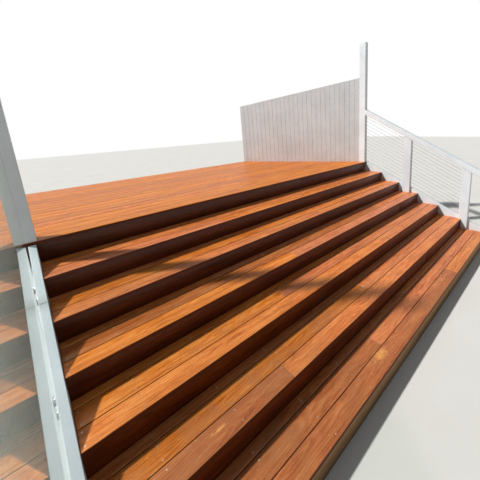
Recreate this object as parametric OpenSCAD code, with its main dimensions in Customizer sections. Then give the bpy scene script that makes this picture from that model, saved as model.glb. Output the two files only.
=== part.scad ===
// Wide timber deck stairs: six boarded treads with closed risers that climb to a boarded deck,
// a wire guard on the right, a sheet of glass on the left and a slanted screen beside the deck.
// All lengths are in millimetres. The stairs climb towards +Y.

/* [Flight] */
// Height of each step
rise = 170; // [150:1:185]
// Height from the top tread to the deck
deck_rise = 193; // [160:1:205]
// Depth from one nosing to the next
going = 385; // [340:5:420]
// Length of the treads
stair_w = 5250; // [4600:10:5400]
// Gap between the tread ends and the side boards
end_gap = 3; // [1:1:10]
// How far each riser board stands behind the nosing over it
riser_setback = 4; // [2:1:12]

/* [Boards] */
// Width of a deck board
board_w = 150; // [120:1:160]
// Thickness of a deck board
board_t = 25; // [19:1:35]
// Open gap between boards
board_gap = 4; // [3:1:8]
// Radius of the eased upper edges of a board
board_round = 4; // [1:0.5:6]
// Thickness of a riser board
riser_t = 19; // [16:1:25]
// Gap between a cut-to-width board and the riser behind it
back_gap = 2; // [1:1:5]
// Gap where two boards meet end to end
butt_gap = 2; // [1:0.5:5]

/* [Carriages] */
// Thickness of the sloping beams, their step blocks and the joists
frame_t = 45; // [38:1:60]
// Depth of a sloping beam, square to its length
carriage_d = 140; // [110:5:170]
// Distance between the rows of beams
row_pitch = 416.5; // [380:0.5:450]
// Distance from the left end of the treads to the first inner row
row_first = 298; // [200:1:350]

/* [Side boards] */
// Thickness of a side board
string_t = 50; // [35:1:60]
// Depth of a side board, square to its length
string_d = 290; // [240:5:330]
// Height of the right board's top edge over the line of the nosings
string_over = 30; // [15:1:60]
// Height of the left board's top edge over that line, low enough to pass under the deck's edge
left_string_over = 5; // [0:1:20]
// How far it runs past the lowest nosing
string_foot = 22; // [0:1:60]
// How far its top end stops short of the deck edge
string_head = 10; // [5:1:30]

/* [Deck] */
// Depth of the deck, from its front edge to the house
deck_depth = 2650; // [2000:10:3200]
// How far the deck reaches past the treads on the left
deck_left = 92; // [88:1:200]
// How far the deck reaches past the treads on the right
deck_right = 50; // [50:1:100]
// Depth of the joists and rims
joist_d = 190; // [140:5:240]
// Depth of the bearers
bearer_d = 190; // [140:5:240]
// Thickness of the bearers
bearer_t = 90; // [70:1:100]
// Side of a square stump
stump_w = 90; // [75:1:100]
// Clear space between the stumps and the edges of the deck
stump_inset = 60; // [0:5:150]
// Number of bays between the columns of stumps
stump_bays = 4; // [3:1:6]
// Longest stretch of a bearer past its last full column of stumps
bearer_overhang = 430; // [300:10:600]
// Fitting gap at the ends of the joists and rims
joist_fit = 0.5; // [0.2:0.1:0.8]
// Shortest joist that is worth fitting at the slanted edge
short_joist = 250; // [150:10:400]

/* [Posts] */
// Width of a post, across the stairs
post_w = 90; // [75:1:100]
// Depth of a post, along the stairs
post_d = 140; // [90:1:140]
// How far the right posts stand in from the ends of the treads
post_in = 40; // [30:1:60]
// How far the left post reaches over the treads
left_post_in = 8; // [0:1:20]
// Distance from the deck edge to the front of the two tall posts
tall_post_back = 6; // [0:1:30]
// Height of the tall posts over the deck
tall_post_h = 2420; // [2000:10:2800]
// Distance from the deck edge down to the middle post's centre
middle_post_run = 926; // [880:1:990]
// Distance from the deck edge down to the lower post's centre
lower_post_run = 1951; // [1940:1:1960]
// Height of the middle post over its tread
middle_post_h = 1063; // [950:1:1150]
// Height of the lower post over its tread
lower_post_h = 1048; // [950:1:1150]

/* [Handrail] */
// Width of the handrail
rail_w = 110; // [70:1:120]
// Depth of the handrail, square to its length
rail_d = 90; // [60:1:110]
// Radius of the handrail's eased edges
rail_round = 6; // [2:1:15]
// How far the handrail runs past the lower post's centre
rail_past = 309; // [120:1:400]

/* [Wires] */
// Number of wires
wire_n = 13; // [8:1:15]
// Diameter of a wire
wire_dia = 4; // [3:0.5:6]
// Height of the lowest wire over the side board
wire_low = 40; // [25:1:80]
// Distance from the top wire up to the handrail
wire_top = 58; // [40:1:90]

/* [Glass] */
// Thickness of the glass
glass_t = 12; // [10:1:15]
// Gap between the side board and the glass
glass_gap = 8; // [3:1:10]
// Height of the glass over the line of the nosings
glass_over = 1420; // [1000:10:1500]
// Depth of the glass below the line of the nosings
glass_under = 205; // [190:5:250]
// How far the glass runs past the lowest nosing
glass_past = 190; // [60:1:300]
// Distance from the deck edge to the upper end of the glass
glass_head = 20; // [10:1:60]
// Height of the glass over the ground
glass_lift = 40; // [20:1:80]
// Number of pairs of fixings
fixing_n = 3; // [2:1:3]
// Distance from the deck edge to the first pair of fixings
fixing_first = 390; // [300:5:600]
// Distance between the pairs of fixings
fixing_pitch = 800; // [500:5:840]
// Depth of the upper fixing of a pair below the side board's top edge
fixing_upper = 70; // [55:5:90]
// Depth of the lower fixing of a pair below that edge
fixing_lower = 165; // [150:5:170]
// Clearance of a fixing's shank in its hole in the glass
fixing_clear = 1; // [0.5:0.5:2]
// Radius of a fixing's disc
fixing_r = 25; // [20:1:30]
// Radius of a fixing's shank
fixing_shank_r = 6; // [5:1:8]
// Thickness of a fixing's outer cap
fixing_cap = 9; // [6:1:14]

/* [Screen] */
// Angle of the screen to the run of the stairs
screen_angle = 27.9; // [15:0.1:35]
// Height of the screen at the tall post
screen_front_h = 1755; // [1500:5:1900]
// Height of the screen at the house
screen_back_h = 1330; // [1200:5:1500]
// Thickness of a screen board
screen_t = 19; // [16:1:25]
// Width of a screen board
screen_board_w = 98; // [80:1:140]
// Width of the groove between two screen boards
screen_groove = 7; // [4:1:10]
// Depth of that groove
screen_groove_d = 6; // [3:1:7]
// Thickness of a screen rail
screen_rail_t = 35; // [30:1:45]
// Depth of a screen rail
screen_rail_d = 90; // [70:1:110]
// Number of level screen rails under the sloping one
screen_rail_n = 3; // [2:1:4]
// Distance along the screen from the tall post to the front screen post
screen_post_first = 425; // [300:5:600]
// Distance along the screen from the back screen post to the house
screen_post_last = 200; // [160:5:400]

/* [Hidden] */
$fn = 48;

merbau = [0.62, 0.29, 0.15];
pine = [0.80, 0.72, 0.52];
white_paint = [0.93, 0.93, 0.90];
steel = [0.75, 0.76, 0.78];
clear_glass = [0.70, 0.85, 0.80, 0.35];

step_n = 6;
slope = rise / going;
pitch_angle = atan(slope);
board_pitch = board_w + board_gap;
tread_depth = going + riser_setback - back_gap;
// The narrowest strip worth ripping from a board
min_rip = 20;
deck_z = step_n * rise + deck_rise;
flight_run = step_n * going;

// Rows where the two boards of each course meet: front, middle and back board of each tread
tread_joints = [[8, 4, 6], [2, 5, 9], [7, 3, 10], [4, 9, 2], [9, 5, 7], [3, 8, 5]];
// The same for the courses of the deck, over and over
deck_joints = [6, 9, 3, 7, 10, 4, 8, 2];

// Steps are counted from the ground; step_n + 1 is the deck
function nose_y(i) = -(step_n + 1 - i) * going;
function top_z(i) = i <= step_n ? i * rise : deck_z;
function block_y(i) = nose_y(i) + riser_setback + riser_t;
function block_z(i) = top_z(i) - board_t;
// Line through the nosings of the treads
function nose_line(y) = (step_n + 1) * rise + y * slope;
function string_line(y) = nose_line(y) + string_over;
function left_string_line(y) = nose_line(y) + left_string_over;

// Rows of beams, blocks and joists
row_n = floor((stair_w - row_first - 2 * frame_t) / row_pitch) + 1;
row_x = concat([-end_gap + frame_t / 2], [for (j = [0 : row_n - 1]) row_first + j * row_pitch],
               [stair_w + end_gap - frame_t / 2]);
function joint_x(j) = row_first + min(j, row_n - 1) * row_pitch;

// Posts
post_x0 = stair_w - post_in;
post_x1 = post_x0 + post_w;
post_mid_x = post_x0 + post_w / 2;
tall_y0 = tall_post_back;
tall_y1 = tall_y0 + post_d;
middle_y = -middle_post_run;
lower_y = -lower_post_run;
middle_step = ceil((flight_run - middle_post_run) / going);
lower_step = floor((flight_run - lower_post_run) / going) + 1;

// Handrail underside, as a line through the tops of the two lower posts
middle_top = top_z(middle_step) + middle_post_h;
lower_top = top_z(lower_step) + lower_post_h;
rail_slope = (middle_top - lower_top) / (middle_y - lower_y);
rail_angle = atan(rail_slope);
rail_end_y = lower_y - rail_past;
function rail_line(y) = middle_top + (y - middle_y) * rail_slope;

// Screen line: its inner face leaves the inner back corner of the right tall post
screen_out = screen_t + screen_rail_t;
screen_len = (deck_depth - tall_y1) / cos(screen_angle);
screen_fall = (screen_front_h - screen_back_h) / screen_len;
screen_post_pitch = (screen_len - screen_post_first - screen_post_last - post_w) / 2;
// Raw ends of the screen, before they are cut plumb at the post and the house
screen_x0 = -screen_out;
screen_x1 = screen_len + screen_out;
function screen_top(x) = screen_front_h - screen_fall * x;
// Line along the deck's slanted edge, out from the screen's inner face
function skew_x(y, out) = post_x0 + out / cos(screen_angle) - (y - tall_y1) * tan(screen_angle);
function skew_y(x, out) = tall_y1 - (x - post_x0 - out / cos(screen_angle)) / tan(screen_angle);

// Deck outline
deck_x0 = -deck_left;
deck_x1 = stair_w + deck_right;
frame_y0 = riser_setback + riser_t;
frame_y1 = deck_depth - frame_t;
bearer_z1 = deck_z - board_t - joist_d;
bearer_z0 = bearer_z1 - bearer_d;
bearer_ys = [frame_y0, (deck_depth - bearer_t) / 2, frame_y1 - bearer_t];

// Side boards and glass
string_y0 = -flight_run - string_foot;
left_string_x0 = -end_gap - string_t;
right_string_x0 = stair_w + end_gap;
glass_x1 = left_string_x0 - glass_gap;
glass_x0 = glass_x1 - glass_t;
glass_y0 = -flight_run - glass_past;

// Plan of the whole object, and a length beyond it for the boxes that cut others
plan_x0 = min(deck_x0, glass_x0 - fixing_cap, left_post_in - post_w);
plan_x1 = max(post_mid_x + rail_w / 2, right_string_x0 + string_t, deck_x1);
plan_y0 = min(glass_y0, string_y0, rail_end_y);
plan_y1 = deck_depth;
far = 2 * (plan_x1 - plan_x0);

// Moves the stair frame, which starts at the left end of the treads and the front edge
// of the deck, to the centre of the plan
module in_place() {
    translate([-(plan_x0 + plan_x1) / 2, -(plan_y0 + plan_y1) / 2, 0]) children();
}

// Shape drawn in Y and Z, given thickness from x0 to x1
module side_shape(x0, x1) {
    translate([x0, 0, 0]) rotate([90, 0, 90]) linear_extrude(x1 - x0) children();
}

// End section of a board with eased upper edges
module board_section(w) {
    square([w, board_t - board_round]);
    translate([board_round, 0]) square([w - 2 * board_round, board_t]);
    for (y = [board_round, w - board_round])
        translate([y, board_t - board_round]) circle(board_round);
}

// One course of decking from x0 to x1, in two lengths that meet over a row
module course(x0, x1, y, z, w, joint) {
    side_shape(x0, joint - butt_gap / 2) translate([y, z]) board_section(w);
    side_shape(joint + butt_gap / 2, x1) translate([y, z]) board_section(w);
}

module tread(i) {
    n = floor((tread_depth - min_rip) / board_pitch) + 1;
    joints = tread_joints[i - 1];
    for (b = [0 : n - 1])
        course(0, stair_w, nose_y(i) + b * board_pitch, block_z(i),
               min(board_w, tread_depth - b * board_pitch), joint_x(joints[b % len(joints)]));
}

module riser(i) {
    z0 = i == 1 ? 0 : block_z(i - 1);
    translate([0, nose_y(i) + riser_setback, z0]) cube([stair_w, riser_t, block_z(i) - z0]);
}

// Triangular blocks of one step, one on each sloping beam; the lowest stand on the ground
module step_blocks(i) {
    y = block_y(i);
    z = block_z(i);
    for (x = row_x)
        side_shape(x - frame_t / 2, x + frame_t / 2)
            if (z < rise)
                polygon([[y, 0], [y, z], [y + going, z], [y + going - z / slope, 0]]);
            else
                polygon([[y, z - rise], [y, z], [y + going, z]]);
}

// Straight beam under the blocks, cut level on the ground and plumb at the front bearer
module carriage(x) {
    head_y = block_y(step_n + 1);
    head_z = block_z(step_n);
    foot_y = head_y - head_z / slope;
    drop = carriage_d / cos(pitch_angle);
    side_shape(x - frame_t / 2, x + frame_t / 2)
        polygon([[foot_y, 0], [head_y, head_z], [head_y, head_z - drop], [foot_y + drop / slope, 0]]);
}

// Closed side board, plumb at both ends and level on the ground
module side_board(x0, over) {
    y0 = string_y0;
    y1 = -string_head;
    z0 = nose_line(y0) + over;
    z1 = nose_line(y1) + over;
    drop = string_d / cos(pitch_angle);
    ground_y = y0 + (drop - z0) / slope;
    side_shape(x0, x0 + string_t)
        polygon([[y0, 0], [y0, z0], [y1, z1], [y1, z1 - drop], [ground_y, 0]]);
}

// Plan of the deck between two distances from its front edge, cut along a line
// that runs beside the screen, out from the screen's inner face
module deck_plan(y0, y1, out) {
    intersection() {
        translate([deck_x0, y0]) square([deck_x1 - deck_x0, y1 - y0]);
        polygon([[deck_x0, y0], [skew_x(y0, out), y0], [skew_x(y1, out), y1], [deck_x0, y1]]);
    }
}

module deck_courses(first, last) {
    intersection() {
        for (b = [first : last])
            course(deck_x0, deck_x1, b * board_pitch, deck_z - board_t,
                   min(board_w, deck_depth - b * board_pitch),
                   joint_x(deck_joints[b % len(deck_joints)]));
        translate([0, 0, deck_z - 2 * board_t]) linear_extrude(3 * board_t)
            deck_plan(0, deck_depth, screen_out);
    }
}

deck_course_n = floor((deck_depth - min_rip) / board_pitch) + 1;
third = floor(deck_course_n / 3);

// Joists between the front rim and the ledger on the house; the slanted rim cuts the last ones
module joists() {
    y0 = frame_y0 + frame_t + joist_fit;
    y1 = frame_y1 - joist_fit;
    out = screen_out - frame_t - joist_fit;
    intersection() {
        for (x = row_x)
            if (skew_y(x - frame_t / 2, out) - y0 > short_joist)
                translate([x - frame_t / 2, y0]) square([frame_t, y1 - y0]);
        deck_plan(y0, y1, out);
    }
}

// Front rim, ledger, left rim and slanted rim
module rims() {
    y0 = frame_y0 + frame_t + joist_fit;
    y1 = frame_y1 - joist_fit;
    deck_plan(frame_y0, frame_y0 + frame_t, screen_out);
    deck_plan(frame_y1, deck_depth, screen_out);
    translate([deck_x0, y0]) square([frame_t, y1 - y0]);
    difference() {
        deck_plan(y0, y1, screen_out);
        deck_plan(y0 - frame_t, y1 + frame_t, screen_out - frame_t);
    }
}

module bearer(y) {
    translate([0, 0, bearer_z0]) linear_extrude(bearer_d) deck_plan(y, y + bearer_t, screen_out);
}

// Columns of stumps; each row has those that stay clear of the slanted edge
stump_x0 = deck_x0 + stump_inset;
stump_pitch = (deck_x1 - stump_inset - stump_w - stump_x0) / stump_bays;

module stump_row(y) {
    last_x = min(deck_x1, skew_x(y + bearer_t, screen_out)) - stump_inset - stump_w;
    column_n = floor((last_x - stump_x0) / stump_pitch) + 1;
    // A row that the slanted edge cuts short gets one more stump where its overhang is long
    overhang = last_x - stump_x0 - (column_n - 1) * stump_pitch;
    for (x = concat([for (c = [0 : column_n - 1]) stump_x0 + c * stump_pitch],
                    overhang > bearer_overhang ? [last_x] : []))
        translate([x, y + (bearer_t - stump_w) / 2, 0]) cube([stump_w, stump_w, bearer_z0]);
}

module tall_post(x) {
    translate([x, tall_y0, deck_z]) cube([post_w, post_d, tall_post_h]);
}

// Post that stands on a tread inside the side board, over which its outer part is notched.
// Where it reaches back over the next step it is notched over that too.
module rail_post(y, step) {
    y0 = y - post_d / 2;
    y1 = y + post_d / 2;
    back_z = y1 > nose_y(step + 1) ? top_z(step + 1) : top_z(step);
    notch_y = min(y1, nose_y(step + 1));
    // The cut for the side board runs on past the post on all sides
    cut_y0 = y0 - post_d;
    cut_y1 = y1 + post_d;
    difference() {
        side_shape(post_x0, post_x1)
            polygon([[y0, top_z(step)], [notch_y, top_z(step)], [notch_y, back_z], [y1, back_z],
                     [y1, rail_line(y1)], [y0, rail_line(y0)]]);
        side_shape(right_string_x0, right_string_x0 + post_w)
            polygon([[cut_y0, 0], [cut_y0, string_line(cut_y0)],
                     [cut_y1, string_line(cut_y1)], [cut_y1, 0]]);
    }
}

// Wire j as a straight line between the side board and the handrail
function wire_share(j) = j / (wire_n - 1);
function wire_z(j, y) = (string_line(y) + wire_low) * (1 - wire_share(j))
                      + (rail_line(y) - wire_top) * wire_share(j);
function wire_angle(j) = atan(slope + (rail_slope - slope) * wire_share(j));

// All wires of one bay, cut plumb at the faces of its two posts
module wires(y0, y1) {
    intersection() {
        for (j = [0 : wire_n - 1])
            translate([post_mid_x, y0 - post_d / 2, wire_z(j, y0 - post_d / 2)])
                rotate([wire_angle(j) - 90, 0, 0])
                    cylinder(h = (y1 - y0 + post_d) / cos(wire_angle(j)), d = wire_dia);
        translate([post_x0, y0, 0]) cube([post_w, y1 - y0, far]);
    }
}

module fixing_places() {
    for (k = [0 : fixing_n - 1], drop = [fixing_upper, fixing_lower]) {
        y = -fixing_first - k * fixing_pitch;
        translate([0, y, left_string_line(y) - drop]) children();
    }
}

// Sheet parallel to the flight, with a level cut over the ground and drilled for its fixings
module glass_sheet() {
    y0 = glass_y0;
    y1 = -glass_head;
    low_y = (glass_lift + glass_under - (step_n + 1) * rise) / slope;
    difference() {
        side_shape(glass_x0, glass_x1)
            polygon([[y0, glass_lift], [y0, nose_line(y0) + glass_over],
                     [y1, nose_line(y1) + glass_over], [y1, nose_line(y1) - glass_under],
                     [low_y, glass_lift]]);
        fixing_places()
            translate([glass_x0 - glass_t, 0, 0]) rotate([0, 90, 0])
                cylinder(h = 3 * glass_t, r = fixing_shank_r + fixing_clear);
    }
}

// Disc between the board and the glass, a shank through the glass and a cap outside
module fixing() {
    rotate([0, 90, 0]) {
        translate([0, 0, glass_x1]) cylinder(h = glass_gap, r = fixing_r);
        translate([0, 0, glass_x0 - fixing_cap / 2])
            cylinder(h = glass_t + fixing_cap, r = fixing_shank_r);
        translate([0, 0, glass_x0 - fixing_cap]) cylinder(h = fixing_cap, r = fixing_r);
    }
}

// Frame of the screen: X runs along it to the house, Y points to the deck
module screen_frame() {
    translate([post_x0, tall_y1, deck_z]) rotate(90 + screen_angle) children();
}

// Space between the back of the tall post and the house
module screen_space() {
    translate([0, tall_y1, 0]) cube([far, deck_depth - tall_y1, far]);
}

// Upright slab from x0 to x1 whose upper and lower edges run below the screen's sloping top edge;
// without a lower edge it stands on the deck
module screen_slab(x0, x1, out, t, drop, depth = 0) {
    translate([0, -out, 0]) rotate([90, 0, 0]) linear_extrude(t)
        polygon([[x0, depth > 0 ? screen_top(x0) - drop - depth : 0], [x0, screen_top(x0) - drop],
                 [x1, screen_top(x1) - drop], [x1, depth > 0 ? screen_top(x1) - drop - depth : 0]]);
}

module level_rail(z0) {
    translate([screen_x0, -screen_out, z0])
        cube([screen_x1 - screen_x0, screen_rail_t, screen_rail_d]);
}

// Screen posts stand on the ground against the slanted rim, up to the top of the sloping rail
module screen_post(k) {
    x = screen_post_first + k * screen_post_pitch;
    screen_frame() translate([0, -screen_out, 0]) rotate([90, 0, 0]) linear_extrude(post_w)
        polygon([[x, -deck_z], [x, screen_top(x) - screen_rail_t],
                 [x + post_w, screen_top(x + post_w) - screen_rail_t], [x + post_w, -deck_z]]);
}

// End section of the handrail
module rail_section() {
    square([rail_w, rail_d - 2 * rail_round], center = true);
    square([rail_w - 2 * rail_round, rail_d], center = true);
    for (x = [-1, 1], y = [-1, 1])
        translate([x * (rail_w / 2 - rail_round), y * (rail_d / 2 - rail_round)]) circle(rail_round);
}

// Handrail on the tops of the two lower posts, square at its foot and plumb at the tall post
module sloping_rail() {
    intersection() {
        translate([post_mid_x, rail_end_y, rail_line(rail_end_y)])
            rotate([rail_angle - 90, 0, 0]) translate([0, -rail_d / 2, 0])
                linear_extrude((tall_y1 - rail_end_y) / cos(rail_angle)) rail_section();
        translate([0, tall_y0 - far, 0]) cube([far, far, far]);
    }
}

module tread_1() color(merbau) in_place() tread(1);
module tread_2() color(merbau) in_place() tread(2);
module tread_3() color(merbau) in_place() tread(3);
module tread_4() color(merbau) in_place() tread(4);
module tread_5() color(merbau) in_place() tread(5);
module tread_6() color(merbau) in_place() tread(6);
module riser_1() color(merbau) in_place() riser(1);
module riser_2() color(merbau) in_place() riser(2);
module riser_3() color(merbau) in_place() riser(3);
module riser_4() color(merbau) in_place() riser(4);
module riser_5() color(merbau) in_place() riser(5);
module riser_6() color(merbau) in_place() riser(6);
module deck_fascia() color(merbau) in_place()
    translate([deck_x0, riser_setback, block_z(step_n)])
        cube([deck_x1 - deck_x0, riser_t, deck_z - board_t - block_z(step_n)]);
module step_blocks_1() color(pine) in_place() step_blocks(1);
module step_blocks_2() color(pine) in_place() step_blocks(2);
module step_blocks_3() color(pine) in_place() step_blocks(3);
module step_blocks_4() color(pine) in_place() step_blocks(4);
module step_blocks_5() color(pine) in_place() step_blocks(5);
module step_blocks_6() color(pine) in_place() step_blocks(6);
module carriages() color(pine) in_place() for (x = row_x) carriage(x);
module left_side_board() color(white_paint) in_place() side_board(left_string_x0, left_string_over);
module right_side_board() color(white_paint) in_place() side_board(right_string_x0, string_over);
module deck_boards_front() color(merbau) in_place() deck_courses(0, third - 1);
module deck_boards_middle() color(merbau) in_place() deck_courses(third, 2 * third - 1);
module deck_boards_back() color(merbau) in_place() deck_courses(2 * third, deck_course_n - 1);
module deck_frame() color(pine) in_place()
    translate([0, 0, bearer_z1]) linear_extrude(joist_d) {
        rims();
        joists();
    }
module bearer_front() color(pine) in_place() bearer(bearer_ys[0]);
module bearer_middle() color(pine) in_place() bearer(bearer_ys[1]);
module bearer_back() color(pine) in_place() bearer(bearer_ys[2]);
module stumps() color(pine) in_place() for (y = bearer_ys) stump_row(y);
module tall_post_left() color(white_paint) in_place() tall_post(left_post_in - post_w);
module tall_post_right() color(white_paint) in_place() tall_post(post_x0);
module middle_post() color(white_paint) in_place() rail_post(middle_y, middle_step);
module lower_post() color(white_paint) in_place() rail_post(lower_y, lower_step);
module handrail() color(white_paint) in_place() sloping_rail();
module wires_upper() color(steel) in_place() wires(middle_y + post_d / 2, tall_y0);
module wires_lower() color(steel) in_place() wires(lower_y + post_d / 2, middle_y - post_d / 2);
module glass_panel() color(clear_glass) in_place() glass_sheet();
module glass_fixings() color(steel) in_place() fixing_places() fixing();
module screen_boards() color(white_paint) in_place()
    intersection() {
        screen_frame()
            difference() {
                screen_slab(screen_x0, screen_x1, 0, screen_t, 0);
                for (x = [screen_board_w : screen_board_w + screen_groove : screen_len])
                    translate([x, -screen_groove_d, -far / 2])
                        cube([screen_groove, 2 * screen_groove_d, far]);
            }
        screen_space();
    }
module screen_rails() color(white_paint) in_place()
    intersection() {
        screen_frame() {
            for (k = [0 : screen_rail_n - 1])
                level_rail(k * (screen_back_h - 2 * screen_rail_d) / screen_rail_n);
            screen_slab(screen_x0, screen_x1, screen_t, screen_rail_t, screen_rail_t, screen_rail_d);
        }
        screen_space();
    }
module screen_post_front() color(white_paint) in_place() screen_post(0);
module screen_post_middle() color(white_paint) in_place() screen_post(1);
module screen_post_back() color(white_paint) in_place() screen_post(2);

tread_1();
tread_2();
tread_3();
tread_4();
tread_5();
tread_6();
riser_1();
riser_2();
riser_3();
riser_4();
riser_5();
riser_6();
deck_fascia();
step_blocks_1();
step_blocks_2();
step_blocks_3();
step_blocks_4();
step_blocks_5();
step_blocks_6();
carriages();
left_side_board();
right_side_board();
deck_boards_front();
deck_boards_middle();
deck_boards_back();
deck_frame();
bearer_front();
bearer_middle();
bearer_back();
stumps();
tall_post_left();
tall_post_right();
middle_post();
lower_post();
handrail();
wires_upper();
wires_lower();
glass_panel();
glass_fixings();
screen_boards();
screen_rails();
screen_post_front();
screen_post_middle();
screen_post_back();
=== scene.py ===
import math
import random

import bmesh
import bpy
from mathutils import Matrix, Vector


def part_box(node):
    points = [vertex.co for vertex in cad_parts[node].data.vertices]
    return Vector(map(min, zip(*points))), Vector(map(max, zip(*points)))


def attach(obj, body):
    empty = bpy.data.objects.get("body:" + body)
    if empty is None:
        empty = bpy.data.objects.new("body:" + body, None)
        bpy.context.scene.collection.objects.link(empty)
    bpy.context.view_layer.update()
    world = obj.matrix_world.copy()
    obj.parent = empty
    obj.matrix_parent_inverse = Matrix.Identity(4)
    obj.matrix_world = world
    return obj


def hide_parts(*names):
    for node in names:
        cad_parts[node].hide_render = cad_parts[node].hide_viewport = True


# Wide garden stairs: oiled hardwood boards on treated pine framing, with white painted side boards,
# posts, handrail and screen, a wire guard on the right and a sheet of glass on the left.
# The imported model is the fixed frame. Each section below dresses or rebuilds one group of its pieces.
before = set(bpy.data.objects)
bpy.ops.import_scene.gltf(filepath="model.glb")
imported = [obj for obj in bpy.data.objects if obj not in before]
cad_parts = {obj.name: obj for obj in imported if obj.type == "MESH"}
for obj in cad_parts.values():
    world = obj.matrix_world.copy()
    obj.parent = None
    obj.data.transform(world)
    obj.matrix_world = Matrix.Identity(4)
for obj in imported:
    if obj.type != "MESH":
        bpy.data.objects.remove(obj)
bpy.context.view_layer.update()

# Where the left ends of the treads meet the front edge of the deck, on the ground
home = Vector((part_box("tread_1")[0].x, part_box("deck_boards_front")[0].y, 0))
chance = random.Random(31)


# Decking boards of the treads and the deck
# Merbau, 150 x 25 mm, planed with eased upper edges, two lengths to a course that meet over a beam.
# Laid with open 4 mm gaps, screwed to every beam and oiled.
BOARD_W = 0.150
BOARD_T = 0.025
BOARD_GAP = 0.004
BOARD_EASE = 0.004
END_EASE = 0.001
BUTT_GAP = 0.002
# Width of the band along a board's front and back edges that is painted dark, as shade on its upright faces
PAINTED_EDGE_SHADE = 0.001
# Each board dips to its front or its back, by up to 3 mm in a metre
BOARD_TILT = 0.003
# Places of the rows of beams, from the treads' left ends, and the rows where the lengths of each course meet
ROW_FIRST = 0.298
ROW_PITCH = 0.4165
TREAD_JOINTS = [[8, 4, 6], [2, 5, 9], [7, 3, 10], [4, 9, 2], [9, 5, 7], [3, 8, 5]]
DECK_JOINTS = [6, 9, 3, 7, 10, 4, 8, 2]
DECK_COURSES = 18
COURSES_PER_PART = 6
# Tone, warmth and wear of the left lengths that stand out, by tread and course. On the two lowest treads
# they are darker and browner. The fourth has a golden board in front of a dark one.
OWN_COLOURS = {
    (1, 0): (0.40, 0.30, 1), (1, 1): (0.36, 0.35, 1), (1, 2): (0.5, 0.5, 1),
    (2, 0): (0.34, 0.25, 1), (2, 1): (0.62, 1, 1), (2, 2): (0.5, 0.5, 1),
    (4, 0): (1, 1, 0.1), (4, 1): (0.35, 0.6, 0.3),
}
# Faces that meet at less than this are shaded as one surface
SMOOTH_UNDER = math.radians(35)


def pick_edges(piece, wanted):
    """Opens the piece in edit mode with those edges selected whose two ends pass the test."""
    bpy.context.view_layer.objects.active = piece
    bpy.ops.object.mode_set(mode="EDIT")
    bpy.ops.mesh.select_mode(type="EDGE")
    bpy.ops.mesh.select_all(action="DESELECT")
    shape = bmesh.from_edit_mesh(piece.data)
    for edge in shape.edges:
        if wanted(edge.verts[0].co, edge.verts[1].co):
            edge.select_set(True)
    bmesh.update_edit_mesh(piece.data)


def settle(piece):
    """Puts the piece's place into its mesh, with its object at the origin."""
    piece.data.transform(piece.matrix_world)
    piece.matrix_world = Matrix.Identity(4)


# The master board is 1 m long, with its long upper edges rounded and its ends lightly eased
bpy.ops.object.select_all(action="DESELECT")
bpy.ops.mesh.primitive_cube_add(
    size=1, location=(0.5, BOARD_W / 2, -BOARD_T / 2), scale=(1, BOARD_W, BOARD_T)
)
master_board = bpy.context.object
bpy.ops.object.transform_apply(location=True, rotation=True, scale=True)
pick_edges(master_board, lambda a, b: a.z > -1e-4 and b.z > -1e-4 and abs(a.x - b.x) > 0.5)
bpy.ops.mesh.bevel(offset=BOARD_EASE, segments=4, affect="EDGES")
pick_edges(master_board, lambda a, b: abs(a.x - b.x) < 1e-4 and a.z > -BOARD_T * 0.9 and b.z > -BOARD_T * 0.9)
bpy.ops.mesh.bevel(offset=END_EASE, segments=1, affect="EDGES")
bpy.ops.object.mode_set(mode="OBJECT")
bpy.ops.object.shade_smooth_by_angle(angle=SMOOTH_UNDER)


def give_grain(piece, along, across, tone, warmth, wear, painted_shade):
    """Writes each point's place within its log, and the board's own tone, for the timber materials to read.

    The last argument says how dark a point is painted, as shade along the board's upright edges and towards
    the lowest riser's foot.
    """
    points = piece.data.vertices
    middle = sum((p.co for p in points), Vector()) / len(points)
    depth = Vector(along).cross(Vector(across))
    heart = Vector((chance.uniform(0, 40), chance.uniform(-0.07, 0.07), chance.uniform(0.03, 0.13)))
    flip = chance.choice((-1, 1))
    piece.data.attributes.new("grain", "FLOAT_VECTOR", "POINT")
    piece.data.attributes.new("board", "FLOAT_COLOR", "POINT")
    for n, p in enumerate(points):
        local = p.co - middle
        within = Vector((local.dot(along) * flip, local.dot(across), local.dot(depth)))
        piece.data.attributes["grain"].data[n].vector = heart + within
        piece.data.attributes["board"].data[n].color = (tone, warmth, wear, painted_shade(p.co))


def lay_board(left, right, front, depth, top, tone, warmth, wear, end=None):
    """One board: a copy of the master drawn out to its place. end gives the line of a slanted right end."""
    board = bpy.data.objects.new("board", master_board.data.copy())
    bpy.context.collection.objects.link(board)
    if end:
        bpy.ops.object.select_all(action="DESELECT")
        bpy.context.view_layer.objects.active = board
        bpy.ops.object.mode_set(mode="EDIT")
        bpy.ops.mesh.select_all(action="SELECT")
        # The right end takes a point across the board where the slant begins
        kink = deck_corner_y - front if front < deck_corner_y < front + depth else depth / 2
        bpy.ops.mesh.bisect(plane_co=(0, kink, 0), plane_no=(0, 1, 0))
        bpy.ops.object.mode_set(mode="OBJECT")
    tilt = chance.uniform(-BOARD_TILT, BOARD_TILT)
    # The back edge and the right end of the master move out to those of the board
    for p in board.data.vertices:
        if p.co.y > BOARD_W - 0.01:
            p.co.y += depth - BOARD_W
        far_end = p.co.x > 0.5
        p.co += Vector((left, front, top + min(0, tilt * (p.co.y - depth / 2))))
        if far_end:
            p.co.x += right - left - 1
        if far_end and end:
            p.co.x += end(p.co.y) - right
    board.data.transform(Matrix.Translation(home))
    # Painted shade: points on the board's front and back edges get the edge colour, standing for the shade on
    # its upright faces
    near, back = home.y + front + PAINTED_EDGE_SHADE, home.y + front + depth - PAINTED_EDGE_SHADE
    give_grain(
        board, (1, 0, 0), (0, 1, 0), tone, warmth, wear, lambda p: 1 if p.y < near or p.y > back else 0
    )
    return board


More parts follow.
